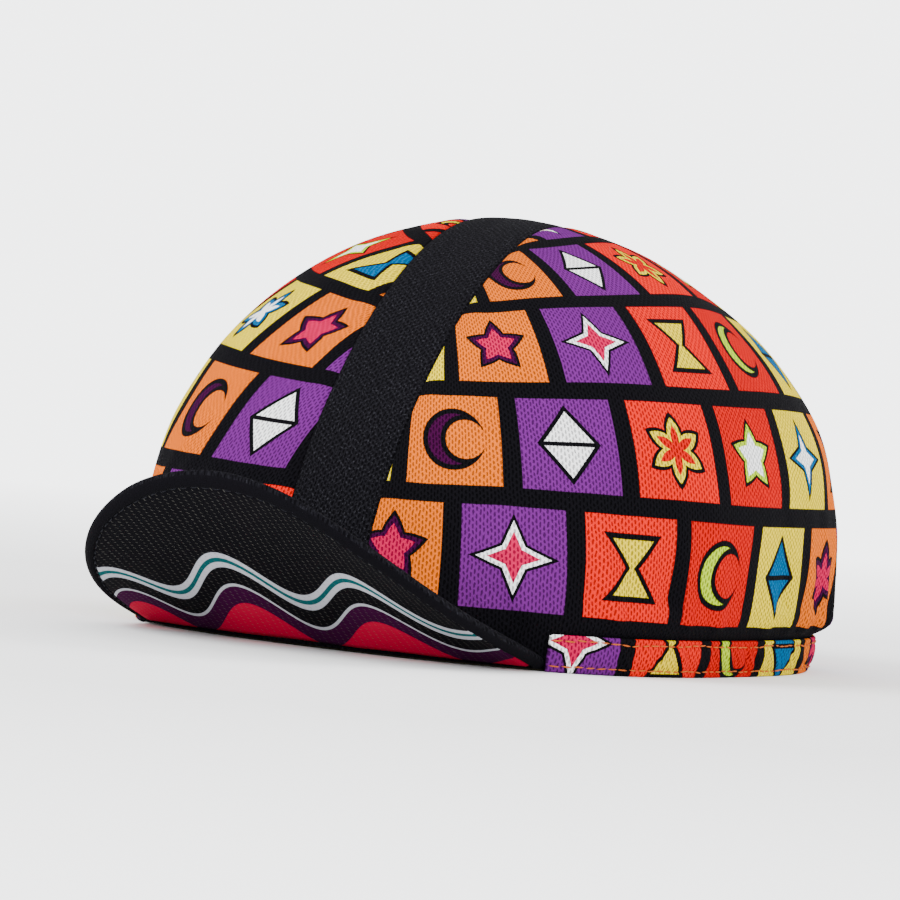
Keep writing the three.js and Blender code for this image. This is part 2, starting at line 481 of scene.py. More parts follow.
@dataclass(frozen=True)
class TilePrint:
    """Coloured tiles with black lines between them, laid as bricks, each with a plain figure."""

    pitch: float = 31.0
    tile: float = 26.0
    first_line: float = 11.5
    outline: float = 0.75
    heart: float = 0.36
    softness: float = 0.22
    ink_step: float = 2.0
    ink_shift: float = 3.0
    figure_shift: float = 2.0
    # Painted shade in the eyelets.
    eyelet_shadow: float = 0.5
    level: float = 0.66
    wear: float = 0.18
    wear_scale: float = 0.05
    # Painted highlight on the knit's crests.
    crest_highlight: float = 0.46
    roughness: float = 0.84
    eyelet_roughness: float = 0.1
    figures: Figures = Figures()
    knit: EyeletKnit = EyeletKnit()
    inks: tuple[TileInks, ...] = (
        TileInks(PALETTE.orange, PALETTE.plum, PALETTE.pink),
        TileInks(PALETTE.red, PALETTE.lime, PALETTE.white),
        TileInks(PALETTE.purple, PALETTE.white, PALETTE.pink),
        TileInks(PALETTE.yellow, PALETTE.blue, PALETTE.white),
        TileInks(PALETTE.coral, PALETTE.yellow, PALETTE.red),
    )

    def colour(self, nodes: Nodes, along: Value, up: Value) -> Value:
        """Works out the print's colour.

        Args:
            nodes: The material.
            along: Millimetres along the rim.
            up: Millimetres above it.

        Returns:
            The colour.
        """
        height = (up - self.first_line) / self.pitch
        row = height.floor()
        length = along / self.pitch + row * 0.5
        column = length.floor()
        across = (length - column - 0.5) * self.pitch
        rise = (height - row - 0.5) * self.pitch
        kinds = float(len(self.inks))
        kind = ((column * self.ink_step + row * self.ink_shift) % kinds + 0.5) / kinds
        measures = self.figures.measures(across, rise)
        choice = (column + row * self.figure_shift) % float(len(measures))
        shares = [choice.equals(float(number)) * measure for number, measure in enumerate(measures)]
        measure = sum(shares[1:], shares[0])
        painted = self.pick(nodes, kind, [ink.ground for ink in self.inks])
        inside = measure.below(self.outline, self.softness)
        painted = nodes.mix(inside, painted, PALETTE.black)
        inside = measure.below(-self.outline, self.softness)
        painted = nodes.mix(inside, painted, self.pick(nodes, kind, [ink.fill for ink in self.inks]))
        inside = measure.below(-self.figures.size * self.heart, self.softness)
        painted = nodes.mix(inside, painted, self.pick(nodes, kind, [ink.heart for ink in self.inks]))
        border = abs(across).most(abs(rise)).below(self.tile / 2, self.softness)
        shown = border * (1.0 - up.below(self.first_line, self.softness))
        return nodes.mix(shown, PALETTE.black, painted)

    @staticmethod
    def pick(nodes: Nodes, share: Value, inks: Sequence[Colour]) -> Value:
        """Picks one of several inks by a share of 0 to 1."""
        stops = [(number / len(inks), colour) for number, colour in enumerate(inks)]
        return nodes.value("ShaderNodeValToRGB", {"stops": stops}, {0: share})

    def material(self) -> Material:
        """Makes the printed knit.

        Returns:
            The material.
        """
        nodes = Nodes("printed_knit")
        along, up, _ = nodes.cloth()
        height, eyelet = self.knit.relief(nodes, along, up)
        worn = nodes.noise(along, up, self.wear_scale)
        # The colour carries painted highlight on the knit's crests and painted shade in its eyelets.
        level = self.level + worn * self.wear + height * self.crest_highlight
        colour = nodes.shade(self.colour(nodes, along, up), (1.0 - eyelet * self.eyelet_shadow) * level)
        return nodes.finish(colour, height, self.roughness + eyelet * self.eyelet_roughness, BLACK_CLOTH)


@dataclass(frozen=True)
class PlainKnit:
    """A knit of one colour, with flecks of lint, painted highlight on its crests and painted shade in its
    eyelets.
    """

    name: str
    colour: Colour
    # The colour of the lint flecks, and of the painted highlight on the crests.
    fleck: Colour
    fleck_share: float
    shadow: float
    lustre: Lustre = BLACK_CLOTH
    lint_scale: float = 2.1
    lint_stretch: float = 0.7
    lint_reach: float = 0.36
    lint_softness: float = 0.1
    # Where and how strongly highlight is painted on the knit's crests.
    crest_from: float = 0.5
    crest_slope: float = 3.0
    crest_highlight_share: float = 0.22
    level: float = 0.88
    wear: float = 0.24
    wear_scale: float = 0.04
    roughness: float = 0.85
    knit: EyeletKnit = EyeletKnit()

    def material(self) -> Material:
        """Makes the knit.

        Returns:
            The material.
        """
        nodes = Nodes(self.name)
        along, up, _ = nodes.cloth()
        height, eyelet = self.knit.relief(nodes, along, up)
        lint = nodes.noise(along, up * self.lint_stretch, self.lint_scale)
        lint = lint.below(self.lint_reach, self.lint_softness)
        worn = nodes.noise(along, up, self.wear_scale)
        # Painted highlight: the knit's crests are mixed towards the fleck colour.
        crest = ((height - self.crest_from) * self.crest_slope).clamp()
        colour = nodes.mix(lint * self.fleck_share + crest * self.crest_highlight_share, self.colour, self.fleck)
        # Painted shade in the eyelets.
        level = (1.0 - eyelet * self.shadow) * (self.level + worn * self.wear)
        return nodes.finish(nodes.shade(colour, level), height, self.roughness, self.lustre)


@dataclass(frozen=True)
class WaveBand:
    """A band of one ink along a wave: how far above the wave it starts, and its width."""

    start: float
    width: float
    ink: Colour


@dataclass(frozen=True)
class PeakPrint:
    """The underside of the peak: fine black cloth printed with bands of waves."""

    period: float = 37.0
    middle: float = 14.0
    swing: float = 7.5
    start: float = 0.3
    softness: float = 0.18
    binding: float = 2.7
    level: float = 0.86
    # Painted highlight on the weave's crests, painted shade in its hollows.
    crest_highlight: float = 0.4
    fleck: Colour = (0.13, 0.125, 0.11)
    fleck_share: float = 0.45
    roughness: float = 0.82
    lustre: Lustre = Lustre(depth=0.16, sheen=0.004, gloss=0.012)
    weave: SlantedWeave = SlantedWeave()
    bands: tuple[WaveBand, ...] = (
        WaveBand(start=-0.4, width=1.3, ink=PALETTE.grey),
        WaveBand(start=-30.4, width=30.0, ink=PALETTE.plum),
        WaveBand(start=-37.5, width=30.0, ink=PALETTE.crimson),
        WaveBand(start=8.0, width=6.4, ink=PALETTE.grey),
        WaveBand(start=10.3, width=1.8, ink=PALETTE.teal),
    )

    def material(self) -> Material:
        """Makes the printed peak cloth.

        Returns:
            The material.
        """
        nodes = Nodes("peak_print")
        along, up, edge = nodes.cloth()
        turn = (along / self.period + self.start) * math.tau
        wave = up - self.middle - turn.math("COSINE") * self.swing
        colour = PALETTE.black
        for band in self.bands:
            inside = abs(wave - (band.start + band.width / 2)).below(band.width / 2, self.softness)
            colour = nodes.mix(inside, colour, band.ink)
        height, fleck = self.weave.relief(nodes, along, up)
        inside = 1.0 - edge.below(self.binding, self.softness)
        colour = nodes.mix(inside, PALETTE.black, colour)
        # Painted highlight on the weave's crests and painted shade in its hollows.
        colour = nodes.shade(colour, self.level + (height - 0.5) * self.crest_highlight)
        colour = nodes.mix(fleck * inside * self.fleck_share, colour, self.fleck)
        return nodes.finish(colour, height, self.roughness, self.lustre)


@dataclass(frozen=True)
class Towelling:
    """The sweatband: a looped upper part over a smooth one with fine ribs."""

    loops_from: float
    colour: Colour = (0.04, 0.035, 0.024)
    softness: float = 0.6
    loop_scale: float = 1.1
    loop_stretch: float = 1.4
    rib_pitch: float = 0.55
    rib_relief: float = 0.3
    level: float = 0.8
    # Painted highlight on the loops and on the ribs' crests.
    loop_highlight: float = 0.55
    rib_highlight: float = 0.1
    roughness: float = 0.94
    lustre: Lustre = Lustre(depth=0.5, sheen=0.05)

    def material(self) -> Material:
        """Makes the sweatband's cloth.

        Returns:
            The material.
        """
        nodes = Nodes("terry_band")
        along, up, _ = nodes.cloth()
        loops = nodes.noise(along * self.loop_stretch, up, self.loop_scale, Detail.FINE)
        ribs = up.wave(self.rib_pitch)
        upper = 1.0 - up.below(self.loops_from, self.softness)
        height = loops * upper + ribs * (1.0 - upper) * self.rib_relief
        # Painted highlight on the loops and the ribs' crests, following their relief.
        level = self.level + loops * self.loop_highlight * upper + ribs * self.rib_highlight
        return nodes.finish(nodes.shade(self.colour, level), height, self.roughness, self.lustre)


@dataclass(frozen=True)
class RibbedElastic:
    """The back elastic: fine ribs along the band, drawn into small upright gathers."""

    colour: Colour = (0.05, 0.043, 0.033)
    rib_pitch: float = 0.62
    rib_slant: float = 0.12
    rib_relief: float = 0.6
    gather_scale: float = 0.9
    gather_stretch: float = 0.1
    level: float = 0.75
    # Painted highlight on the ribs' crests, and painted light and shade over the gathers.
    rib_highlight: float = 0.3
    gather_shading: float = 0.2
    roughness: float = 0.8
    lustre: Lustre = Lustre(depth=0.4, sheen=0.03)

    def material(self) -> Material:
        """Makes the elastic.

        Returns:
            The material.
        """
        nodes = Nodes("ribbed_elastic")
        along, up, _ = nodes.cloth()
        ribs = (up + along * self.rib_slant).wave(self.rib_pitch)
        gathers = nodes.noise(along, up * self.gather_stretch, self.gather_scale, Detail.COARSE)
        # Painted highlight on the ribs' crests, and painted light and shade over the gathers, following
        # their relief.
        colour = nodes.shade(self.colour, self.level + ribs * self.rib_highlight + gathers * self.gather_shading)
        return nodes.finish(colour, ribs * self.rib_relief + gathers, self.roughness, self.lustre)


@dataclass(frozen=True)
class Thread:
    """Sewing thread, twisted, of one colour."""

    name: str
    colour: Colour
    pitch: float = 0.3
    level: float = 0.75
    # Painted highlight on the twist's crests.
    twist_highlight: float = 0.4
    roughness: float = 0.6
    lustre: Lustre = Lustre(depth=0.08, sheen=0.02)

    def material(self) -> Material:
        """Makes the thread.

        Returns:
            The material.
        """
        nodes = Nodes(self.name)
        along, up, _ = nodes.cloth()
        twist = (along + up).wave(self.pitch)
        # Painted highlight on the twist's crests.
        colour = nodes.shade(self.colour, self.level + twist * self.twist_highlight)
        return nodes.finish(colour, twist, self.roughness, self.lustre)


def unit(vectors: Array) -> Array:
    """Gives vectors the length 1."""
    return vectors / np.maximum(np.linalg.norm(vectors, axis=-1, keepdims=True), TINY)


def ramp(value: Array, length: float, start: float = 0.0) -> Array:
    """Rises from 0 to 1 over a length from a start."""
    return np.clip((value - start) / length, 0, 1)


def fade(value: Array, start: float, length: float) -> Array:
    """Stays at 1 up to a start, and dies away over a length beyond it."""
    return np.exp(-np.maximum(value - start, 0) / length)


def bell(value: Array, middle: float, width: float) -> Array:
    """Gives a soft hump of height 1."""
    return np.exp(-(((value - middle) / width) ** 2))


def on_cloth(along: Array, up: Array, third: Array | float = 0.0) -> Array:
    """Joins measures into places on the flat cloth."""
    return np.stack(np.broadcast_arrays(along, up, third), axis=-1)


def arc(points: Array, axis: int = 0) -> Array:
    """Measures the length run along points.

    Args:
        points: Points in order along the axis.
        axis: The axis that they run along.

    Returns:
        The length at each point, from 0.
    """
    steps = np.linalg.norm(np.diff(points, axis=axis), axis=-1)
    first = np.zeros_like(np.take(steps, [0], axis=axis))
    return np.concatenate([first, np.cumsum(steps, axis=axis)], axis=axis)


def read_at(places: Array | float, known: Array, rows: Array) -> Array:
    """Reads rows of numbers between the places at which they are known.

    Args:
        places: Where they are read.
        known: The place of each row, rising.
        rows: The rows.

    Returns:
        A row of numbers for each place.
    """
    return np.stack([np.interp(places, known, numbers) for numbers in rows.T], axis=-1)


def lay_evenly(line: Array, count: int) -> Array:
    """Lays points evenly along a line.

    Args:
        line: Its points, with any further numbers of each.
        count: How many are laid.

    Returns:
        The new points, with their further numbers.
    """
    length = arc(line[:, :3])
    return read_at(np.linspace(0, length[-1], count), length, line)


@dataclass(frozen=True)
class Unevenness:
    """An uneven wave between about plus and minus its height, summed from a few sines.

    It is read at a place that takes its shares of the measures along and up the cloth.
    """

    height: float
    period: float
    seed: int
    along_share: float = 1.0
    up_share: float = 0.0
    sines: int = 5
    shortest: float = 0.6
    longest: float = 1.7

    def at(self, along: Array, up: Array | float = 0.0, shift: int = 0) -> Array:
        """Gives the wave's height.

        Args:
            along: Where it is read along the cloth.
            up: Where it is read up the cloth.
            shift: Added to the seed, for another wave of the same kind.

        Returns:
            The heights.
        """
        draw = np.random.default_rng(self.seed + shift)
        place = along * self.along_share + up * self.up_share
        total = np.zeros_like(place)
        for _ in range(self.sines):
            length = self.period * draw.uniform(self.shortest, self.longest)
            total += np.sin(place * math.tau / length + draw.uniform(0, math.tau))
        return total / math.sqrt(self.sines) * self.height


@dataclass(frozen=True)
class RimOval:
    """The oval of the cap's rim, seen from above, on its outside."""

    half_width: float = 78.0
    front_reach: float = 91.5
    back_reach: float = 96.0
    squareness: float = 2.7
    probe: float = 0.002

    def point(self, angle: Array) -> Array:
        """Gives points of the oval.

        Args:
            angle: Angles from the front, positive towards the wearer's left.

        Returns:
            X and Y of each.
        """
        reach = np.where(np.cos(angle) > 0, self.front_reach, self.back_reach)
        across = np.abs(np.sin(angle) / self.half_width) ** self.squareness
        along = np.abs(np.cos(angle) / reach) ** self.squareness
        radius = (across + along) ** (-1 / self.squareness)
        return np.stack([radius * np.sin(angle), -radius * np.cos(angle)], axis=-1)

    def normal(self, angle: Array) -> Array:
        """Gives the directions square to the oval, outwards."""
        along = self.point(angle + self.probe) - self.point(angle - self.probe)
        return unit(np.stack([along[..., 1], -along[..., 0]], axis=-1))

    def inset(self, angle: Array, inset: Array | float) -> Array:
        """Gives points a distance inside the oval."""
        return self.point(angle) - self.normal(angle) * np.asarray(inset)[..., None]


@dataclass(frozen=True)
class Profile:
    """How the crown rises towards one side: its swell over the rim and its closing power."""

    swell: float
    closing: float


@dataclass(frozen=True)
class CapForm:
    """The cap's form, with the sizes that its pieces share."""

    rim: RimOval = RimOval()
    crown_height: float = 112.0
    crown_lean: float = 2.0
    crown_steepness: float = 1.04
    front: Profile = Profile(swell=-0.03, closing=1.34)
    side: Profile = Profile(swell=0.186, closing=0.83)
    back: Profile = Profile(swell=0.186, closing=1.14)
    cloth_wall: float = 1.1
    strip_width: float = 25.0
    peak_half_angle: float = math.radians(38.5)
    elastic_width: float = 32.0
    clearance: float = 0.3
    rim_rise: float = 0.6
    hem_height: float = 9.5
    hem_wall: float = 1.3
    hem_flare: float = 1.5
    shoulder_rise: float = 6.0
    low_rows: int = 12
    shoulder_rows: int = 33
    upper_rows: int = 419
    top_gap: float = 0.0004

    @property
    def shoulder_start(self) -> float:
        """The height at which the crown puffs out over the hem band."""
        return self.hem_height + self.clearance

    @property
    def hem_lean(self) -> float:
        """How far the hem band leans outwards for each millimetre of height."""
        return self.hem_flare / self.hem_height

    @property
    def elastic_half_angle(self) -> float:
        """Half the angle that the back elastic takes up."""
        return math.asin(self.elastic_width / 2 / self.rim.back_reach)

    def tuck(self, height: Array) -> Array:
        """How far the cloth behind the hem band lies inside the oval at a height."""
        flare = self.hem_flare * np.minimum(height / self.hem_height, 1)
        return self.hem_wall + self.clearance - flare

    def outside(self, angle: Array, rise: Array) -> Array:
        """Gives points on the outside of the crown.

        Args:
            angle: Angles from the front.
            rise: 0 at the rim to a quarter turn at the top.

        Returns:
            X, Y and Z of each.
        """
        ahead = np.cos(angle) ** 2
        end_swell = np.where(np.cos(angle) > 0, self.front.swell, self.back.swell)
        end_closing = np.where(np.cos(angle) > 0, self.front.closing, self.back.closing)
        swell = self.side.swell + (end_swell - self.side.swell) * ahead
        closing = self.side.closing + (end_closing - self.side.closing) * ahead
        height = self.crown_height * np.sin(rise) ** self.crown_steepness
        spread = np.cos(rise) ** closing * (1 + swell * np.sin(2 * rise))
        free = self.rim.point(angle) * spread[..., None]
        free[..., 1] += self.crown_lean * (1 - np.cos(rise))
        share = ramp(height, self.shoulder_rise, self.shoulder_start)
        out = np.sqrt(share * (2 - share))[..., None]
        plan = self.rim.inset(angle, self.tuck(height)) * (1 - out) + free * out
        return np.concatenate([plan, height[..., None]], axis=-1)

    def lattice(self, angle: Array, rise: Array) -> Array:
        """Gives a grid of points on the outside of the crown.

        Args:
            angle: Angles from the front, in order.
            rise: Rises, in order.

        Returns:
            For each rise and angle, the place and the direction square to the cloth.
        """
        points = self.outside(angle[None, :], np.repeat(rise[:, None], len(angle), axis=1))
        normals = unit(np.cross(np.gradient(points, axis=1), np.gradient(points, axis=0)))
        return np.concatenate([points, normals], axis=-1)

    def hoop(self, angle: Array, inset: Array, height: Array) -> Array:
        """Gives rings of points round the rim.

        Args:
            angle: The angle of each ring.
            inset: How far inside the oval each point of each ring lies.
            height: The height of each point of a ring.

        Returns:
            The rings' points.
        """
        plan = self.rim.inset(np.repeat(angle[:, None], inset.shape[1], axis=1), inset)
        tall = np.broadcast_to(height, inset.shape)
        return np.concatenate([plan, tall[..., None]], axis=-1)

    def rise_at(self, height: Array | float) -> Array:
        """Gives the rise of a height."""
        return np.arcsin((np.asarray(height) / self.crown_height) ** (1 / self.crown_steepness))

    def rises(self) -> Array:
        """Gives many rises from the rim to the top, closest at the shoulder.

        Returns:
            The rises, in order.
        """
        low = self.rise_at(np.linspace(self.rim_rise, self.shoulder_start, self.low_rows))
        shares = np.linspace(0, 1, self.shoulder_rows + 1)[1:] ** 2
        shoulder = self.rise_at(self.shoulder_start + self.shoulder_rise * shares)
        top = math.pi / 2 - self.top_gap
        upper = np.linspace(0, 1, self.upper_rows + 1)[1:]
        return np.concatenate([low, shoulder, shoulder[-1] + (top - shoulder[-1]) * upper])


@dataclass
class Sheet:
    """A grid of cloth points with their places on the flat cloth and the ways square to it."""

    points: Array
    cloth: Array
    normals: Array

    def moved(self, out: Array | float) -> "Sheet":
        """Gives the sheet moved along its normals.

        Args:
            out: Millimetres outwards, for all points or for each.

        Returns:
            The moved sheet.
        """
        step = np.asarray(out, dtype=float)
        step = step[..., None] if step.ndim else step
        return Sheet(self.points + self.normals * step, self.cloth, self.normals)

    def mirrored(self) -> "Sheet":
        """Gives the sheet on the cap's other side."""
        flip = np.array([-1.0, 1.0, 1.0])
        return Sheet(self.points * flip, self.cloth, self.normals * flip)


def soft_band(wall: float, height: float, levels: int, bluntness: float = 0.02) -> tuple[Array, Array]:
    """Works out the section of an upright band whose folds are round.

    Args:
        wall: Its thickness.
        height: Its height.
        levels: Points up each side.
        bluntness: How blunt the folds are.

    Returns:
        For each point of the section, its height, and its inset from 0 to the wall.
    """
    share = (1 - np.cos(np.linspace(0, math.pi, levels))) / 2
    level = share * height
    end = np.minimum(level, height - level) / (wall / 2)
    half = wall / 2 * np.sqrt(np.maximum(1 - (1 - np.minimum(end, 1)) ** 2, bluntness))
    heights = np.concatenate([level, level[::-1]])
    return heights, np.concatenate([wall / 2 - half, (wall / 2 + half)[::-1]])


class MeshMaker:
    """Writes meshes into the scene, hides the frame's parts that they replace and hangs them on the body.
    """

    def __init__(self, form: CapForm) -> None:
        """Finds where the cap's own middle lies in the frame.

        Args:
            form: The cap's form.
        """
        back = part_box("hem_band")[1][1] / MM
        self.shift = np.array([0.0, back - form.rim.back_reach - form.hem_flare, 0.0])
        self.pieces: list[Piece] = []

    def write(
        self,
        name: str,
        points: Array,
        faces: Array,
        cloth: Array,
        materials: Sequence[Material],
        skins: Array | None = None,
    ) -> Piece:
        """Makes an object from numbers.

        Args:
            name: The piece's name.
            points: Points in millimetres.
            faces: Corners of each face, four to a face.
            cloth: Each point's place on the cloth, in millimetres.
            materials: The piece's materials.
            skins: The material of each face.

        Returns:
            The object.
        """
        mesh = bpy.data.meshes.new(name)
        used, faces = np.unique(faces, return_inverse=True)
        points, cloth = points.reshape(-1, 3)[used], cloth.reshape(-1, 3)[used]
        corners = faces.reshape(-1, 4).tolist()
        corners = [[c for i, c in enumerate(face) if c != face[i - 1]] for face in corners]
        mesh.from_pydata(((points + self.shift) * MM).tolist(), [], corners)
        for material in materials:
            mesh.materials.append(material)
        if skins is not None:
            mesh.polygons.foreach_set("material_index", skins.astype(np.int32))
        places = mesh.attributes.new("cloth", "FLOAT_VECTOR", "POINT")
        places.data.foreach_set("vector", cloth.astype(np.float32).ravel())
        mesh.polygons.foreach_set("use_smooth", np.ones(len(mesh.polygons), dtype=bool))
        mesh.update()
        piece = bpy.data.objects.new(name, mesh)
        bpy.context.scene.collection.objects.link(piece)
        return piece

    def shell(
        self,
        name: str,
        outer: Sheet,
        inner: Sheet,
        materials: Sequence[Material],
        joined: Array | None = None,
    ) -> Piece:
        """Closes two grids of equal size into one shell.

        Args:
            name: The piece's name.
            outer: The side that shows.
            inner: The side towards the head.
            materials: The materials of the two sides.
            joined: Marks the points at which the two sides are one.

        Returns:
            The object.
        """
        size = outer.points[..., 0].size
        index = np.arange(size).reshape(outer.points.shape[:2])
        quads = [index[:-1, :-1], index[1:, :-1], index[1:, 1:], index[:-1, 1:]]
        face = np.stack(quads, axis=-1).reshape(-1, 4)
        around = np.concatenate([index[0], index[1:, -1], index[-1, -2::-1], index[-2:0:-1, 0]])
        after = np.roll(around, -1)
        rim = np.stack([around, after, after + size, around + size], axis=-1)
        twins = np.arange(2 * size)
        if joined is not None:
            shared = joined.reshape(-1)
            rim = rim[~(shared[around] & shared[after])]
            twins[size:] -= np.where(shared, size, 0)
        faces = twins[np.concatenate([face, face[:, ::-1] + size, rim])]
        skins = np.repeat(
            [Skin.FACE.value, Skin.REVERSE.value, Skin.FACE.value], [len(face), len(face), len(rim)]
        )
        points = np.concatenate([outer.points.reshape(-1, 3), inner.points.reshape(-1, 3)])
        cloth = np.concatenate([outer.cloth.reshape(-1, 3), inner.cloth.reshape(-1, 3)])
        normal = np.cross(points[face[:, 2]] - points[face[:, 0]], points[face[:, 3]] - points[face[:, 1]])
        depth = points[face[:, 0]] - points[face[:, 0] + size]
        if np.sum(normal * depth) < 0:
            faces = faces[:, ::-1]
        return self.write(name, points, faces, cloth, materials, skins)

    def tube(self, name: str, rings: Array, cloth: Array, material: Material) -> Piece:
        """Joins rings of points into a band with closed ends.

        Args:
            name: The piece's name.
            rings: Rings of points, first axis along the band.
            cloth: Each point's place on the cloth.
            material: The piece's material.

        Returns:
            The object.
        """
        count, corners = rings.shape[:2]
        index = np.arange(count * corners).reshape(count, corners)
        here, after = index[:-1], index[1:]
        quads = [here, after, np.roll(after, -1, axis=1), np.roll(here, -1, axis=1)]
        faces = [np.stack(quads, axis=-1).reshape(-1, 4)]
        half = corners // 2
        for ring, order in ((index[0], 1), (index[-1], -1)):
            front, back = ring[:half], ring[::-1][:half]
            end = np.stack([front[:-1], front[1:], back[1:], back[:-1]], axis=-1)
            faces.append(end[:, ::order])
        faces = np.concatenate(faces)
        first, second, third, fourth = (rings.reshape(-1, 3)[corner] for corner in faces.T)
        if np.sum(first * (np.cross(second, third) + np.cross(third, fourth))) < 0:
            faces = faces[:, ::-1]
        return self.write(name, rings, faces, cloth, [material])

    def declare(self, piece: Piece, slot: str, *nodes: str) -> None:
        """Hides the frame's parts that a piece replaces, hangs the piece on the body and keeps it.

        Args:
            piece: The piece.
            slot: Not used.
            nodes: The nodes that it replaces.
        """
        if nodes:
            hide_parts(*nodes)
        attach(piece, BODY)
        self.pieces.append(piece)


@dataclass(frozen=True)
class Stitching:
    """Rows of stitches laid on a surface, as one mesh."""

    length: float
    gap: float
    width: float
    arch: float = 0.12
    bluntness: float = 0.04
    scatter: float = 0.07
    look_ahead: float = 0.5
    sides: int = 6
    sections: int = 5

    def template(self) -> tuple[Array, Array]:
        """Makes one stitch along X.

        Returns:
            Its points, and its faces.
        """
        turns = np.linspace(0, math.tau, self.sides, endpoint=False)
        places = np.linspace(-1, 1, self.sections)
        girth = np.sqrt(np.maximum(1 - places**4, self.bluntness)) * self.width / 2
        arch = (1 - places**2) * self.arch
        points = [
            [x * self.length / 2, math.cos(t) * g, math.sin(t) * g + a]
            for x, g, a in zip(places, girth, arch)
            for t in turns
        ]
        faces = []
        for ring in range(self.sections - 1):
            for side in range(self.sides):
                here, after = ring * self.sides + side, ring * self.sides + (side + 1) % self.sides
                faces.append([here, after, after + self.sides, here + self.sides])
        for base in (0, (self.sections - 1) * self.sides):
            ring = [base + side for side in range(self.sides)]
            ends = [[ring[0], ring[1], ring[2], ring[3]], [ring[0], ring[3], ring[4], ring[5]]]
            faces += ends if base else [end[::-1] for end in ends]
        return np.array(points), np.array(faces)

    def lay(
        self, maker: MeshMaker, name: str, rows: Sequence[tuple[Array, Array]], thread: Material, seed: int
    ) -> Piece:
        """Lays stitches along rows.

        Args:
            maker: Writes the mesh.
            name: The piece's name.
            rows: Points along each row, and the directions away from the cloth there.
            thread: The thread.
            seed: Of the stitches' small unevenness.

        Returns:
            The object.
        """
        draw = np.random.default_rng(seed)
        shape, sides = self.template()
        points, faces = [], []
        start = 0
        for line, away in rows:
            run = arc(line)
            first, last = self.length / 2 + self.gap, run[-1] - self.length / 2
            places = np.arange(first, last, self.length + self.gap)
            middle = read_at(places, run, line)
            up = unit(read_at(places, run, away))
            forward = unit(read_at(places + self.look_ahead, run, line) - middle)
            beside = unit(np.cross(up, forward))
            skew = draw.normal(0, self.scatter, len(places))[:, None]
            forward, beside = unit(forward + beside * skew), unit(beside - forward * skew)
            middle = middle + beside * draw.normal(0, self.scatter, len(places))[:, None]
            placed = (
                middle[:, None]
                + forward[:, None] * shape[None, :, :1]
                + beside[:, None] * shape[None, :, 1:2]
                + up[:, None] * shape[None, :, 2:]
            )
            offsets = start + np.arange(len(places))[:, None, None] * len(shape)
            start += len(places) * len(shape)
            points.append(placed)
            faces.append((sides[None] + offsets).reshape(-1, 4))
        points = np.concatenate(points)
        cloth = np.broadcast_to(shape[None], points.shape)
        return maker.write(name, points, np.concatenate(faces), cloth, [thread])


@dataclass
class Overlock:
    """The overlocked seam allowance that backs a seam inside the crown."""

    form: CapForm
    maker: MeshMaker
    start: float = 7.5
    drop: float = 0.75
    half_width: float = 2.9
    half_depth: float = 0.4
    wrap: float = 0.1
    wrap_pitch: float = 1.9
    corner_pitch: float = 2.0
    rings: int = 760
    corners: int = 14

    def build(self, side: Side, edge: Array, away: Array, thread: Material) -> None:
        """Makes the seam allowance.

        Args:
            side: The wearer's side.
            edge: The seam's points on the outside.
            away: Directions away from the cap there.
            thread: Its pale thread and cloth.
        """
        keep = edge[:, 2] > self.form.shoulder_start + self.start
        line = lay_evenly(np.concatenate([edge[keep], away[keep]], axis=1), self.rings)
        edge, away = line[:, :3], unit(line[:, 3:])
        beside = unit(np.cross(away, unit(np.gradient(edge, axis=0))))
        run = arc(edge)
        turns = np.linspace(0, math.tau, self.corners, endpoint=False)
        wrap = 1 + self.wrap * np.sin(run * math.tau / self.wrap_pitch)[:, None]
        wide = np.cos(turns)[None, :] * self.half_width * wrap
        deep = np.sin(turns)[None, :] * self.half_depth * wrap
        middle = edge - away * (self.form.cloth_wall + self.drop)
        rings = middle[:, None] + beside[:, None] * wide[..., None] + away[:, None] * deep[..., None]
        cloth = on_cloth(run[:, None], turns * self.corner_pitch)
        piece = self.maker.tube(f"seam_{side.name.lower()}_overlock", rings, cloth, thread)
        self.maker.declare(piece, "black_mesh")


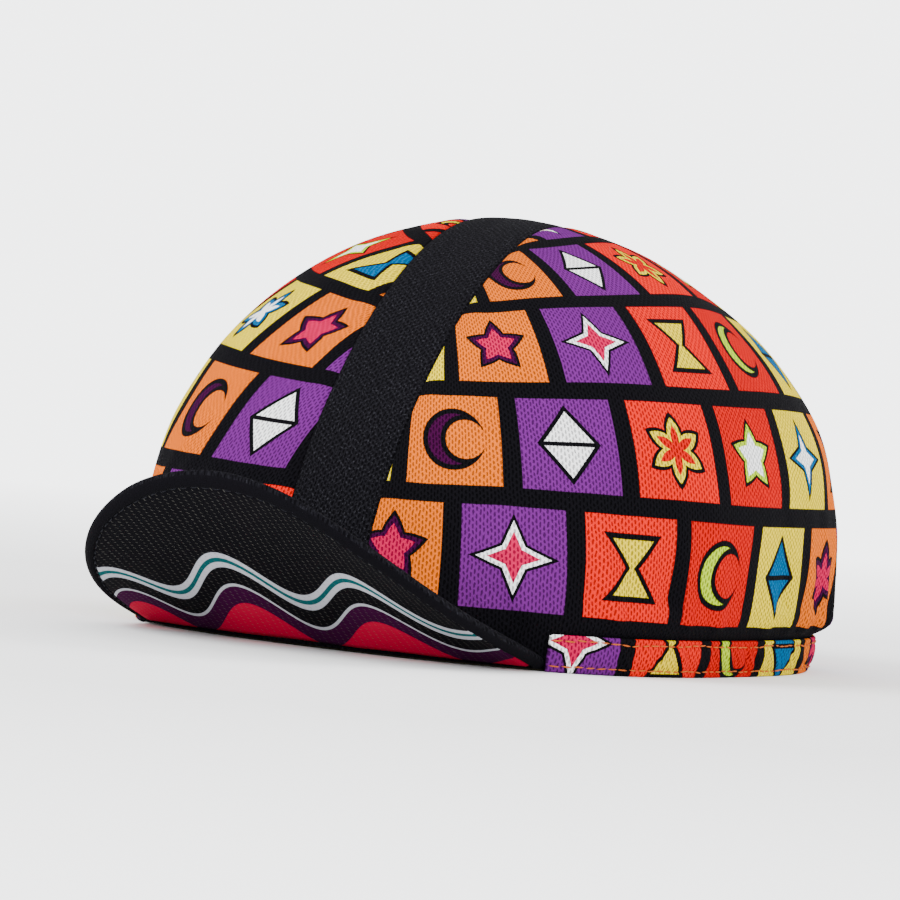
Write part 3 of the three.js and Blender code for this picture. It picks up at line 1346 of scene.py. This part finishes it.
@dataclass
class Crown:
    """The two printed side panels and the black strip between them."""

    form: CapForm
    maker: MeshMaker
    columns: int = 230
    rows: int = 120
    lattice_columns: int = 1441
    strip_columns: int = 27
    strip_rows: int = 320
    strip_lattice_columns: int = 900
    fan_reach: float = 28.0
    edge_share: float = 0.6
    narrowest: float = 0.01
    back_swell: float = 6.0
    seam_gap: float = 0.06
    seam_dip: float = 0.6
    seam_dip_width: float = 1.1
    seam_swell: float = 0.2
    seam_swell_place: float = 4.0
    seam_swell_width: float = 2.2
    fold_start: float = 0.5
    fold_rise: float = 4.0
    gather_length: float = 12.0
    drawn_start: float = 3.0
    drawn_length: float = 9.0
    drawn_from: float = 60.0
    drawn_over: float = 30.0
    slack_from_seam: float = 12.0
    shallowest: float = 0.05
    deepest: float = 2.5
    deep_from: float = 7.0
    deep_over: float = 6.0
    dip_rise: float = 1.5
    strip_crest: float = 0.35
    strip_rise: float = 3.0
    right_seed: int = 18
    gathers: Unevenness = Unevenness(height=1.15, period=17.0, seed=11, up_share=0.25)
    back_gathers: Unevenness = Unevenness(height=0.55, period=6.5, seed=37)
    long_slack: Unevenness = Unevenness(0.45, period=46.0, seed=12, along_share=0.7, up_share=0.5)
    cross_slack: Unevenness = Unevenness(0.35, period=38.0, seed=13, along_share=-0.3, up_share=1.0)
    strip_slack: Unevenness = Unevenness(height=0.1, period=60.0, seed=53, up_share=3.0)
    strip_hollow: float = 0.3
    print_start: dict[Side, float] = field(default_factory=lambda: {Side.LEFT: 7.0, Side.RIGHT: 84.0})
    panel_reverse: PlainKnit = PlainKnit(
        name="pale_reverse",
        colour=(0.7, 0.77, 0.85),
        fleck=(0.88, 0.9, 0.94),
        fleck_share=0.5,
        shadow=0.35,
    )
    strip_face: PlainKnit = PlainKnit(
        name="black_mesh",
        colour=PALETTE.black,
        fleck=(0.05, 0.05, 0.06),
        fleck_share=0.4,
        shadow=0.5,
    )
    strip_reverse: PlainKnit = PlainKnit(
        name="strip_reverse",
        colour=(0.8, 0.83, 0.88),
        fleck=(0.9, 0.91, 0.93),
        fleck_share=0.4,
        shadow=0.12,
        lustre=Lustre(depth=0.12, sheen=0.004, gloss=0.012),
    )
    overlock_thread: Thread = Thread("overlock_thread", (0.82, 0.84, 0.88), pitch=0.5)

    @property
    def seam(self) -> float:
        """X of a panel's edge along the strip."""
        return (self.form.strip_width + self.seam_gap) / 2

    def panel(self, side: Side) -> Sheet:
        """Works out one side panel's outside, laid off in upright columns of cloth.

        Args:
            side: The wearer's side.

        Returns:
            The panel.
        """
        lattice = self.form.lattice(np.linspace(0, math.pi, self.lattice_columns), self.form.rises())
        ahead, aside = lattice[..., 1] - self.form.crown_lean, lattice[..., 0] + self.fan_reach
        fan = np.arctan2(ahead, aside)
        run, aims = self.rim_run(lattice, fan)
        lines = self.cut_lines(lattice, fan, aims)
        starts, ends = (np.array([line[end, :3] for line in lines]) for end in (0, -1))
        measure = run + self.edge_share * arc(ends) + self.edge_share * arc(starts)
        places = np.interp(np.linspace(0, measure[-1], self.columns), measure, run)
        lines = self.cut_lines(lattice, fan, np.interp(places, run, aims))
        grid = np.array([lay_evenly(line, self.rows) for line in lines])
        cloth = on_cloth(self.print_start[side] + side.value * places[:, None], grid[..., 6])
        sheet = Sheet(grid[..., :3], cloth, unit(grid[..., 3:6]))
        sheet = sheet.moved(self.unevenness(sheet.points, places[:, None], side))
        return sheet if side is Side.LEFT else sheet.mirrored()

    def rim_run(self, lattice: Array, fan: Array) -> tuple[Array, Array]:
        """Works out how far a panel runs, up to the last line that still leaves the strip.

        Args:
            lattice: The crown's lattice.
            fan: The fan's angle at each of its points.

        Returns:
            Lengths along the rim, and the fan's angle at each.
        """
        seam = self.seam
        beyond = lattice[0, :, 0] > np.where(lattice[0, :, 1] < 0, seam, seam - self.back_swell)
        run, aims = arc(lattice[0, beyond, :3]), fan[0, beyond]
        widest = np.max(self.follow(lattice, fan, aims)[..., 0], axis=0)
        last = np.nonzero(widest > seam + 2 * self.narrowest)[0][-1] + 1
        around = slice(last - 1, last + 1)
        last_run = np.interp(-seam - self.narrowest, -widest[around], run[around])
        return np.append(run[:last], last_run), np.append(aims[:last], np.interp(last_run, run, aims))

    @staticmethod
    def follow(lattice: Array, fan: Array, aims: Array) -> Array:
        """Follows upright planes of a fan over the crown.

        Args:
            lattice: The crown's lattice.
            fan: The fan's angle at each of its points.
            aims: The angle of each plane.

        Returns:
            For each row of the lattice and each plane, the six numbers where they meet.
        """
        return np.array([read_at(aims, angles, row) for angles, row in zip(fan, lattice)])

    def cut_lines(self, lattice: Array, fan: Array, aims: Array) -> list[Array]:
        """Cuts the lines on upright planes of a fan where they meet the seam with the strip.

        Args:
            lattice: The crown's lattice.
            fan: The fan's angle at each of its points.
            aims: The angle of each plane.

        Returns:
            For each plane a line of points, with the directions there and the lengths from the rim.
        """
        lines = []
        for line in np.swapaxes(self.follow(lattice, fan, aims), 0, 1):
            line = np.concatenate([line, arc(line[:, :3])[:, None]], axis=1)
            inside = np.nonzero(line[:, 0] > self.seam)[0]
            first, last = inside[0], inside[-1]
            kept = [line[first : last + 1]]
            if first > 0:
                kept.insert(0, self.crossing(line[first - 1], line[first]))
            if last + 1 < len(line):
                kept.append(self.crossing(line[last + 1], line[last]))
            lines.append(np.concatenate(kept))
        return lines

    def crossing(self, outer: Array, inner: Array) -> Array:
        """Gives the point between two points at which a line crosses the seam."""
        share = (self.seam - outer[0]) / (inner[0] - outer[0])
        return (outer + (inner - outer) * share)[None]

    def unevenness(self, points: Array, run: Array, side: Side) -> Array:
        """Works out how far the cloth of a panel stands off its plain form.

        Args:
            points: The plain form, on the wearer's left.
            run: Millimetres along the rim.
            side: The wearer's side.

        Returns:
            Millimetres outwards.
        """
        shift = 0 if side is Side.LEFT else self.right_seed
        across, height = points[..., 0], points[..., 2]
        above = height - self.form.shoulder_start
        from_seam = across - self.seam
        free = ramp(above, self.fold_rise, self.fold_start)
        low = free * fade(above, self.fold_rise, self.gather_length)
        gathers = self.gathers.at(run, height, shift) * low
        drawn = free * fade(above, self.drawn_start, self.drawn_length)
        drawn = drawn * ramp(points[..., 1], self.drawn_over, self.drawn_from)
        gathers = gathers + self.back_gathers.at(across) * drawn
        slack = self.long_slack.at(run, height, shift) + self.cross_slack.at(run, height, shift)
        folds = gathers + slack * free * ramp(from_seam, self.slack_from_seam)
        deep = self.shallowest + self.deepest * ramp(above, self.deep_over, self.deep_from)
        dip = -self.seam_dip * fade(from_seam, 0.0, self.seam_dip_width)
        dip = dip + self.seam_swell * bell(from_seam, self.seam_swell_place, self.seam_swell_width)
        return np.maximum(folds, -deep) + dip * ramp(above, self.dip_rise)

    def strip(self) -> Sheet:
        """Works out the strip's outside, from the front seam over the top to the back.

        Returns:
            The strip.
        """
        form = self.form
        half = (form.strip_width - self.seam_gap) / 2
        across = np.linspace(-half, half, self.strip_columns)
        turns = np.linspace(0, math.pi / 2, self.strip_lattice_columns)
        branches = [form.lattice(turns, form.rises()), form.lattice(math.pi - turns, form.rises())]
        branches[1][..., 3:] *= -1
        grid = []
        for place in across:
            aside = abs(place)
            ends = [
                np.array([read_at(aside, row[:, 0], row) for row in branch if row[-1, 0] >= aside])
                for branch in branches
            ]
            path = np.concatenate([ends[0], ends[1][::-1]])
            path[:, 3] *= np.sign(place)
            path[:, 0] = place
            grid.append(lay_evenly(path, self.strip_rows))
        points, normals = np.array(grid)[..., :3], unit(np.array(grid)[..., 3:])
        across, run = across[:, None], arc(points, axis=1)
        above = points[..., 2] - form.shoulder_start
        low = fade(above, self.drawn_start, self.drawn_length) * (points[..., 1] > 0)
        hollow = -self.strip_hollow * self.back_gathers.height
        drawn = np.maximum(self.back_gathers.at(points[..., 0]), hollow)
        crest = self.strip_crest * (1 - (across / half) ** 2) + drawn * low
        slack = self.strip_slack.at(run, across)
        dip = -self.seam_dip * fade(half - np.abs(across), 0.0, self.seam_dip_width)
        sheet = Sheet(points, on_cloth(across, run), normals)
        return sheet.moved((crest + slack + dip) * ramp(above, self.strip_rise))

    def build(self, printed: Material) -> None:
        """Makes the panels, the strip and the overlocked seams inside.

        Args:
            printed: The printed knit.
        """
        maker, wall = self.maker, self.form.cloth_wall
        cloths = [printed, self.panel_reverse.material()]
        for side in Side:
            name = f"side_panel_{side.name.lower()}"
            sheet = self.panel(side)
            piece = maker.shell(f"{name}_cloth", sheet, sheet.moved(-wall), cloths)
            maker.declare(piece, "printed_knit", name)
        sheet = self.strip()
        cloths = [self.strip_face.material(), self.strip_reverse.material()]
        piece = maker.shell("centre_strip_cloth", sheet, sheet.moved(-wall), cloths)
        maker.declare(piece, "black_mesh", "centre_strip")
        thread = self.overlock_thread.material()
        overlock = Overlock(self.form, maker)
        for side, column in ((Side.LEFT, -1), (Side.RIGHT, 0)):
            overlock.build(side, sheet.points[column], sheet.normals[column], thread)


@dataclass
class HemBand:
    """The printed hem band round the outside of the rim, with its topstitching."""

    form: CapForm
    maker: MeshMaker
    stations: int = 620
    probes: int = 4000
    levels: int = 19
    puff: float = 0.5
    edge_rise: float = 0.6
    puckers: Unevenness = Unevenness(height=0.26, period=5.0, seed=71, up_share=0.8)
    stitch_heights: tuple[float, float] = (1.6, 8.0)
    wander_seeds: tuple[int, int] = (16, 80)
    stitch_dent: float = 0.32
    stitch_dent_width: float = 0.6
    stitch_lift: float = 0.16
    stitch_wander: Unevenness = Unevenness(height=0.2, period=30.0, seed=0)
    stitching: Stitching = Stitching(length=2.9, gap=0.45, width=0.38)
    stitch_seed: int = 5
    thread: Thread = Thread("orange_thread", (0.5, 0.11, 0.02))
    print_start: float = 40.0
    print_rise: float = 19.0

    def angles(self) -> Array:
        """Gives the band's angles, evenly spaced along the rim.

        Returns:
            The angles, in order.
        """
        start = self.form.peak_half_angle + self.form.clearance / self.form.rim.half_width
        dense = np.linspace(start, math.tau - start, self.probes)
        run = arc(self.form.rim.point(dense))
        return np.interp(np.linspace(0, run[-1], self.stations), run, dense)

    def proud(self, run: Array, height: Array) -> Array:
        """Works out how far the band's face stands off its plain form.

        Args:
            run: Millimetres along the rim.
            height: Heights above the rim.

        Returns:
            Millimetres outwards.
        """
        arch = np.sin(math.pi * ramp(height, self.form.hem_height))
        dents = sum(bell(height, level, self.stitch_dent_width) for level in self.stitch_heights)
        puckers = self.puckers.at(run, height) * arch
        return self.puff * arch - self.stitch_dent * dents + puckers

    def build(self, printed: Material) -> None:
        """Makes the band and its two rows of stitches.

        Args:
            printed: The printed knit.
        """
        form = self.form
        angle = self.angles()
        height, within = soft_band(form.hem_wall, form.hem_height, self.levels)
        run = arc(form.rim.point(angle))
        out = self.proud(run[:, None], height[None]) * (within < form.hem_wall / 2)
        out = out * ramp(np.minimum(height, form.hem_height - height), self.edge_rise)
        rings = form.hoop(angle, within[None] - form.hem_lean * height[None] - out, height)
        cloth = on_cloth(run[:, None] + self.print_start, self.print_rise + height)
        piece = self.maker.tube("hem_band_cloth", rings, cloth, printed)
        self.maker.declare(piece, "hem_knit", "hem_band")
        tilt = np.full((len(angle), 1), -form.hem_lean)
        away = unit(np.concatenate([form.rim.normal(angle), tilt], axis=1))
        rows = []
        for level, seed in zip(self.stitch_heights, self.wander_seeds):
            row = level + self.stitch_wander.at(run, shift=seed)
            inset = -form.hem_lean * row - self.proud(run, row) - self.stitch_lift
            rows.append((np.concatenate([form.rim.inset(angle, inset), row[:, None]], axis=1), away))
        thread = self.thread.material()
        piece = self.stitching.lay(self.maker, "hem_stitches", rows, thread, self.stitch_seed)
        self.maker.declare(piece, "hem_knit")


@dataclass
class InnerBand:
    """A band sewn in along the rim, inside the crown."""

    form: CapForm
    maker: MeshMaker
    height: float
    wall: float
    stations: int
    loops_from: float = math.inf
    levels: int = 25
    loop_depth: float = 0.25
    loop_low: float = -0.6
    loop_margin: float = 0.3
    foot_gap: float = 0.1
    head_gap: float = 0.25
    slack: Unevenness = Unevenness(height=0.2, period=34.0, seed=91, up_share=0.5)
    slack_rise: float = 1.5
    loop_seed: int = 17

    def rings(self, start: float, end: float) -> tuple[Array, Array, Array, Array]:
        """Works out the band.

        Args:
            start: The angle at which it starts.
            end: The angle at which it ends.

        Returns:
            Its rings of points, their cloth places, the angles along it and the section's heights.
        """
        form = self.form
        angle = np.linspace(start, end, self.stations)
        foot = float(form.tuck(np.array(0.0))) + form.cloth_wall + form.clearance + self.foot_gap
        top = form.outside(angle, np.full(len(angle), float(form.rise_at(self.height))))
        reach = np.sum((form.rim.point(angle) - top[:, :2]) * form.rim.normal(angle), axis=1)
        head = np.maximum(foot, reach + form.cloth_wall + form.clearance + self.head_gap)
        height, within = soft_band(self.wall, self.height, self.levels)
        run = arc(form.rim.point(angle))
        inside = within > self.wall / 2
        looped = inside & (height > self.loops_from) & (height < self.height - self.loop_margin)
        draw = np.random.default_rng(self.loop_seed)
        rough = np.zeros((len(angle), len(height)))
        rough[:, looped] = draw.uniform(self.loop_low, 1.0, (len(angle), int(looped.sum())))
        rough = rough * self.loop_depth
        soft = self.slack.at(run[:, None], height[None])
        soft = soft * ramp(np.minimum(height, self.height - height), self.slack_rise)
        lean = (head[:, None] - foot) * height[None] / self.height
        rings = form.hoop(angle, foot + lean + within[None] + (rough + soft) * inside[None], height)
        return rings, on_cloth(run[:, None], height), angle, height


@dataclass
class Sweatband(InnerBand):
    """The towelling band at the brow and the sides, with a row of stitches."""

    height: float = 16.0
    wall: float = 1.4
    stations: int = 900
    loops_from: float = 11.6
    stitch_height: float = 4.4
    stitch_lift: float = 0.05
    stitching: Stitching = Stitching(length=1.1, gap=1.0, width=0.42)
    stitch_seed: int = 23
    thread: Thread = Thread("pale_thread", (0.45, 0.43, 0.37))

    def build(self) -> None:
        """Makes the band, and the stitches along its inner face."""
        form, maker = self.form, self.maker
        end = math.pi - form.elastic_half_angle - form.clearance / form.rim.back_reach
        rings, cloth, angle, height = self.rings(-end, end)
        towelling = Towelling(loops_from=self.loops_from).material()
        piece = maker.tube("sweatband_cloth", rings, cloth, towelling)
        maker.declare(piece, "terry_band", "sweatband")
        face, levels = rings[:, self.levels :][:, ::-1], height[self.levels :][::-1]
        path = np.array([read_at(self.stitch_height, levels, ring) for ring in face])
        away = np.concatenate([-form.rim.normal(angle), np.zeros((len(angle), 1))], axis=1)
        rows = [(path + away * self.stitch_lift, away)]
        thread = self.thread.material()
        piece = self.stitching.lay(maker, "sweatband_stitches", rows, thread, self.stitch_seed)
        maker.declare(piece, "terry_band")


@dataclass
class BackElastic(InnerBand):
    """The ribbed elastic at the back, between the ends of the sweatband."""

    height: float = 15.5
    wall: float = 1.1
    stations: int = 80
    finish: RibbedElastic = RibbedElastic()

    def build(self) -> None:
        """Makes the elastic."""
        half = self.form.elastic_half_angle
        rings, cloth, _, _ = self.rings(math.pi - half, math.pi + half)
        piece = self.maker.tube("back_elastic_cloth", rings, cloth, self.finish.material())
        self.maker.declare(piece, "ribbed_elastic", "back_elastic")


@dataclass
class Peak:
    """The stiff peak turned up before the crown, with its rolled and stitched edge."""

    form: CapForm
    maker: MeshMaker
    length: float = 65.0
    corner_length: float = 4.0
    squareness: float = 2.1
    thickness: float = 2.8
    corner_thickness: float = 0.1
    lift: float = math.radians(36)
    corner_lift: float = math.radians(14)
    seam_height: float = 0.8
    seam_arch: float = 0.8
    bead: float = 0.25
    bead_inset: float = 1.4
    bead_width: float = 0.7
    stitch_inset: float = 2.6
    stitch_margin: float = 0.2
    stitch_lift: float = 0.14
    groove: float = 0.45
    groove_width: float = 0.45
    edge_rise: float = 0.6
    slack: Unevenness = Unevenness(0.07, period=24.0, seed=61, along_share=0.8, up_share=0.5)
    columns: int = 220
    rows: int = 90
    row_crowding: float = 1.7
    stitching: Stitching = Stitching(length=2.2, gap=0.9, width=0.44)
    thread: Thread = Thread("black_thread", (0.012, 0.012, 0.016))
    under: PeakPrint = PeakPrint()
    over: PlainKnit = PlainKnit(
        name="peak_top_cloth",
        colour=PALETTE.black,
        fleck=(0.04, 0.04, 0.05),
        fleck_share=0.2,
        shadow=0.4,
        lustre=Lustre(depth=0.2, sheen=0.004, gloss=0.012),
    )

    def middle(self) -> tuple[Array, Array, Array]:
        """Works out the sheet midway between the peak's two sides.

        Returns:
            Its points, the lengths from the seam, and the upright thickness of each column.
        """
        form = self.form
        turn = np.linspace(-math.pi / 2, math.pi / 2, self.columns)
        across = np.sin(turn)
        angle = across * form.peak_half_angle
        lift = self.lift + (self.corner_lift - self.lift) * across**2
        full = np.maximum(1 - np.abs(across) ** self.squareness, 0) ** (1 / self.squareness)
        length = self.corner_length + (self.length - self.corner_length) * full
        normal = form.rim.normal(angle)
        beside = np.tan(lift) * normal[:, 0] / normal[:, 1]
        thick = self.thickness * np.sqrt(1 + np.tan(lift) ** 2 + beside**2)
        foot = self.seam_height + self.seam_arch * np.cos(turn) ** 2
        seam = form.rim.inset(angle, form.tuck(foot + thick) - form.clearance)
        run = length[:, None] * (1 - (1 - np.linspace(0, 1, self.rows)[None]) ** self.row_crowding)
        ahead = seam[:, 1:] - run * np.cos(lift)[:, None]
        up = (foot + thick / 2)[:, None] + run * np.sin(lift)[:, None]
        return np.stack(np.broadcast_arrays(seam[:, :1], ahead, up), axis=-1), run, thick[:, None]

    @staticmethod
    def edge_distance(middle: Array) -> Array:
        """Measures how far each point of a sheet is from its free outline.

        Args:
            middle: The sheet's points.

        Returns:
            Millimetres from the outline.
        """
        outline = np.concatenate([middle[0], middle[1:-1, -1], middle[-1, ::-1]])
        edge = np.full(middle.shape[:2], math.inf)
        for first, second in zip(outline[:-1], outline[1:]):
            along = second - first
            place = np.clip((middle - first) @ along / max(along @ along, TINY), 0, 1)
            edge = np.minimum(edge, np.linalg.norm(middle - first - place[..., None] * along, axis=-1))
        return edge

    def half_thickness(self, middle: Array, run: Array, thick: Array, edge: Array) -> tuple[Array, Array]:
        """Works out half the peak's upright thickness, with its rolled edge and stitched groove.

        Args:
            middle: The middle sheet's points.
            run: Lengths from the seam.
            thick: The plain thickness of each column.
            edge: Distances from the outline.

        Returns:
            Half the thickness at each point, and a mask of the points at which the sides are one.
        """
        round_off = np.sqrt(np.maximum(1 - (1 - np.minimum(edge / (self.thickness / 2), 1)) ** 2, 0))
        relief = self.bead * bell(edge, self.bead_inset, self.bead_width)
        relief -= self.groove * bell(edge, self.stitch_inset, self.groove_width)
        relief += self.slack.at(middle[..., 0], run)
        half = thick / 2 * round_off + relief * ramp(edge, self.edge_rise)
        joined = np.zeros(edge.shape, dtype=bool)
        joined[[0, -1], :] = joined[:, -1] = True
        half[joined] = 0
        joined[[0, -1], 0] = False
        half[[0, -1], 0] = self.corner_thickness / 2
        return half, joined

    def build(self) -> None:
        """Makes the peak and its topstitching. The under side is the printed one, and faces forwards."""
        middle, run, thick = self.middle()
        edge = self.edge_distance(middle)
        half, joined = self.half_thickness(middle, run, thick, edge)
        upright = np.broadcast_to([0.0, 0.0, 1.0], middle.shape)
        sheet = Sheet(middle, on_cloth(middle[..., 0], run, edge), upright)
        sides = {"under": sheet.moved(-half), "over": sheet.moved(half)}
        cloths = [self.under.material(), self.over.material()]
        piece = self.maker.shell("peak_cloth", sides["under"], sides["over"], cloths, joined)
        self.maker.declare(piece, "peak_cloth", "peak")
        thread = self.thread.material()
        for seed, (name, side) in enumerate(sides.items()):
            row = self.stitch_line(side.points, edge, -1 if name == "under" else 1)
            piece = self.stitching.lay(self.maker, f"peak_stitches_{name}", [row], thread, seed)
            self.maker.declare(piece, "peak_cloth")

    def stitch_line(self, surface: Array, edge: Array, sign: int) -> tuple[Array, Array]:
        """Follows the outline of the peak at the stitches' distance from it.

        Args:
            surface: Points of one side.
            edge: Their distance from the outline.
            sign: 1 on the upper side, -1 on the under side.

        Returns:
            The line's points, and the directions away from the cloth there.
        """
        normal = unit(np.cross(np.gradient(surface, axis=0), np.gradient(surface, axis=1)))
        normal = normal * np.sign(normal[..., 2:]) * sign
        line = []
        for numbers, inward in zip(np.concatenate([surface, normal], axis=-1)[:, ::-1], edge[:, ::-1]):
            if inward.max() > self.stitch_inset + self.stitch_margin:
                crest = int(np.argmax(inward)) + 1
                line.append(read_at(self.stitch_inset, inward[:crest], numbers[:crest]))
        found = np.array(line)
        away = unit(found[:, 3:])
        return found[:, :3] + away * self.stitch_lift, away


@dataclass(frozen=True)
class Lamp:
    """A round soft light: its place and diameter in metres, and its power in watts."""

    name: str
    place: tuple[float, float, float]
    size: float
    power: float


@dataclass
class Studio:
    """The floor, the background, the lights and the camera."""

    maker: MeshMaker
    azimuth: float = 28.0
    elevation: float = 1.2
    roll: float = 5.3
    distance: float = 1432.0
    focal_pixels: float = 5457.0
    picture: float = 900.0
    sensor: float = 36.0
    clip: tuple[float, float] = (0.01, 100.0)
    anchor: tuple[float, float, float] = (0.0, 0.0, 50.0)
    anchor_pixel: tuple[float, float] = (492.0, 455.0)
    white: Colour = (0.98, 0.99, 1.0)
    brightness: float = 1.7
    backdrop: float = 4.5
    floor_colour: Colour = (0.9, 0.9, 0.9)
    floor_roughness: float = 0.9
    floor_gloss: float = 0.1
    floor_reach: float = 30.0
    fade_from_middle: float = 0.62
    fade_width: float = 0.7
    aim: tuple[float, float, float] = (0.0, 0.0, 0.05)
    lamps: tuple[Lamp, ...] = (
        Lamp("key", (-0.9, -1.3, 1.3), size=1.1, power=54.0),
        Lamp("fill", (1.3, -0.9, 0.5), size=1.2, power=16.0),
        Lamp("back", (0.6, 1.4, 1.1), size=0.9, power=26.0),
    )

    def build(self) -> None:
        """Makes the stage."""
        self.floor()
        self.world()
        for lamp in self.lamps:
            self.light(lamp)
        self.camera()

    @staticmethod
    def add(name: str, data: bpy.types.ID) -> Piece:
        """Adds an object to the scene.

        Args:
            name: Its name.
            data: Its mesh, light or camera.

        Returns:
            The object.
        """
        added = bpy.data.objects.new(name, data)
        bpy.context.scene.collection.objects.link(added)
        return added

    def floor(self) -> None:
        """Makes the pale floor, which fades into the background."""
        nodes = Nodes("studio_floor")
        place = nodes.value("ShaderNodeNewGeometry")
        away = nodes.value("ShaderNodeVectorMath", {"operation": "LENGTH"}, {0: place}, "Value")
        far = 1.0 - away.below(self.fade_from_middle, self.fade_width)
        finish = {
            "Base Color": self.floor_colour,
            "Roughness": self.floor_roughness,
            "Specular IOR Level": self.floor_gloss,
        }
        near = nodes.value("ShaderNodeBsdfPrincipled", {}, finish)
        glow = nodes.value("ShaderNodeEmission", {}, {"Color": self.white, "Strength": self.backdrop})
        mixed = nodes.value("ShaderNodeMixShader", {}, {0: far, 1: near, 2: glow})
        nodes.make("ShaderNodeOutputMaterial", {}, {"Surface": mixed})
        mesh = bpy.data.meshes.new("studio_floor")
        low, high = -self.floor_reach, self.floor_reach
        corners = [(low, low, 0), (high, low, 0), (high, high, 0), (low, high, 0)]
        mesh.from_pydata(corners, [], [(0, 1, 2, 3)])
        mesh.materials.append(nodes.owner)
        floor = self.add("studio_floor", mesh)

    def world(self) -> None:
        """Makes the pale background, brighter to look at than the soft light that it gives."""
        nodes = Nodes("studio", world=True)
        seen = nodes.value("ShaderNodeLightPath", output="Is Camera Ray")
        strength = self.brightness + seen * (self.backdrop - self.brightness)
        sky = nodes.value("ShaderNodeBackground", {}, {"Color": self.white, "Strength": strength})
        nodes.make("ShaderNodeOutputWorld", {}, {"Surface": sky})
        bpy.context.scene.world = nodes.owner

    def light(self, lamp: Lamp) -> None:
        """Makes a soft light that is turned to the cap.

        Args:
            lamp: Its place, size and power.
        """
        disk = bpy.data.lights.new(lamp.name, "AREA")
        disk.shape, disk.size, disk.energy = "DISK", lamp.size, lamp.power
        light = self.add(lamp.name, disk)
        light.location = lamp.place
        light.rotation_euler = (Vector(self.aim) - Vector(lamp.place)).to_track_quat("-Z", "Y").to_euler()

    def camera(self) -> None:
        """Makes the camera at the photograph's angle, just above the floor."""
        turn, rise, roll = (math.radians(a) for a in (self.azimuth, self.elevation, self.roll))
        back = Vector((math.sin(turn) * math.cos(rise), -math.cos(turn) * math.cos(rise), math.sin(rise)))
        level = Vector((math.cos(turn), math.sin(turn), 0))
        upright = back.cross(level)
        right = level * math.cos(roll) + upright * math.sin(roll)
        up = upright * math.cos(roll) - level * math.sin(roll)
        scale = self.distance / self.focal_pixels
        aside, above = (self.picture / 2 - pixel for pixel in self.anchor_pixel)
        middle = Vector((np.array(self.anchor) + self.maker.shift).tolist())
        target = (middle + right * aside * scale - up * above * scale) * MM
        lens = bpy.data.cameras.new("camera")
        lens.sensor_width = self.sensor
        lens.lens = self.focal_pixels / self.picture * lens.sensor_width
        lens.clip_start, lens.clip_end = self.clip
        camera = self.add("camera", lens)
        turned = Matrix((right, up, back)).transposed().to_4x4()
        camera.matrix_world = Matrix.Translation(target + back * self.distance * MM) @ turned
        bpy.context.scene.camera = camera


def main() -> None:
    """Builds the studio and the cap's pieces in order, and reports each piece's faces."""
    logging.basicConfig(level=logging.INFO, format="%(name)s %(message)s")
    form = CapForm()
    maker = MeshMaker(form)
    Studio(maker).build()
    printed = TilePrint().material()
    Crown(form, maker).build(printed)
    HemBand(form, maker).build(printed)
    Sweatband(form, maker).build()
    BackElastic(form, maker).build()
    Peak(form, maker).build()
    for piece in maker.pieces:
        log.info("%s: %d faces", piece.name, len(piece.data.polygons))


if __name__ == "__main__":
    main()
